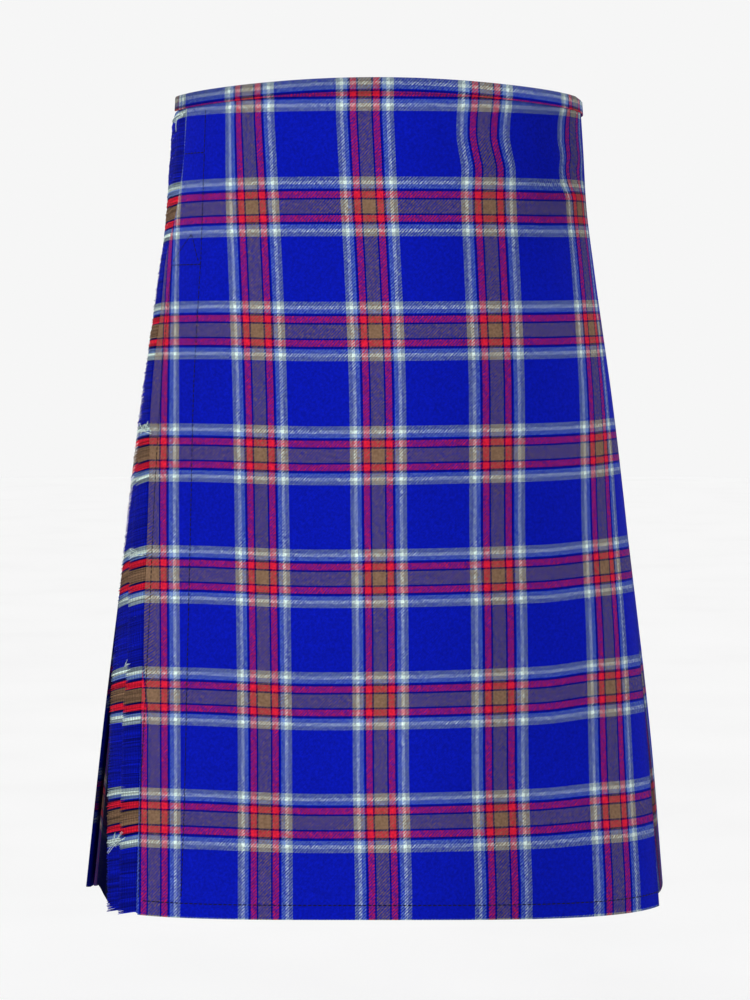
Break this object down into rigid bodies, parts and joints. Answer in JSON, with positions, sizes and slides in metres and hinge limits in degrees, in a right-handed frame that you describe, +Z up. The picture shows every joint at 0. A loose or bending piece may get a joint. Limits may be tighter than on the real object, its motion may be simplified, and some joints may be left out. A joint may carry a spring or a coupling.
{
  "type": "scottish kilt",
  "caption": "Wrapped tartan kilt held in its worn shape: flat over apron with a fringed edge, knife-pleated back, narrow waistband, leather straps and buckles.",
  "frame": {"origin": "middle of the waist opening, level with the top edge at the wearer's sides, where the wearer's waist holds the kilt up", "axes": "+Z up along the wearer's axis, the wearer faces -Y, +X to the wearer's left"},
  "size_m": [0.4445, 0.3011, 0.6079],
  "materials": {
    "tartan_cloth": "twill-woven wool tartan: royal blue ground, brown bands edged red, white lines",
    "fringe_yarn": "fringed wool yarn in the stripe colours of the cloth",
    "strap_leather": "black strap leather, smooth grain",
    "buckle_metal": "polished nickel plate"
  },
  "bodies": {
    "root": {"frame_hip": "buckle_metal", "frame_left": "buckle_metal", "frame_waist": "buckle_metal", "fringe_under": "fringe_yarn", "fringe_upper": "fringe_yarn", "keeper_hip": "strap_leather", "keeper_left": "strap_leather", "keeper_waist": "strap_leather", "over_apron": "tartan_cloth", "pleats_centre": "tartan_cloth", "pleats_left": "tartan_cloth", "pleats_right": "tartan_cloth", "prong_hip": "buckle_metal", "prong_left": "buckle_metal", "prong_waist": "buckle_metal", "strap_hip": "strap_leather", "strap_left": "strap_leather", "strap_waist": "strap_leather", "tab_hip": "strap_leather", "tab_left": "strap_leather", "tab_waist": "strap_leather", "under_apron": "tartan_cloth", "waistband": "tartan_cloth"}
  },
  "joints": []
}
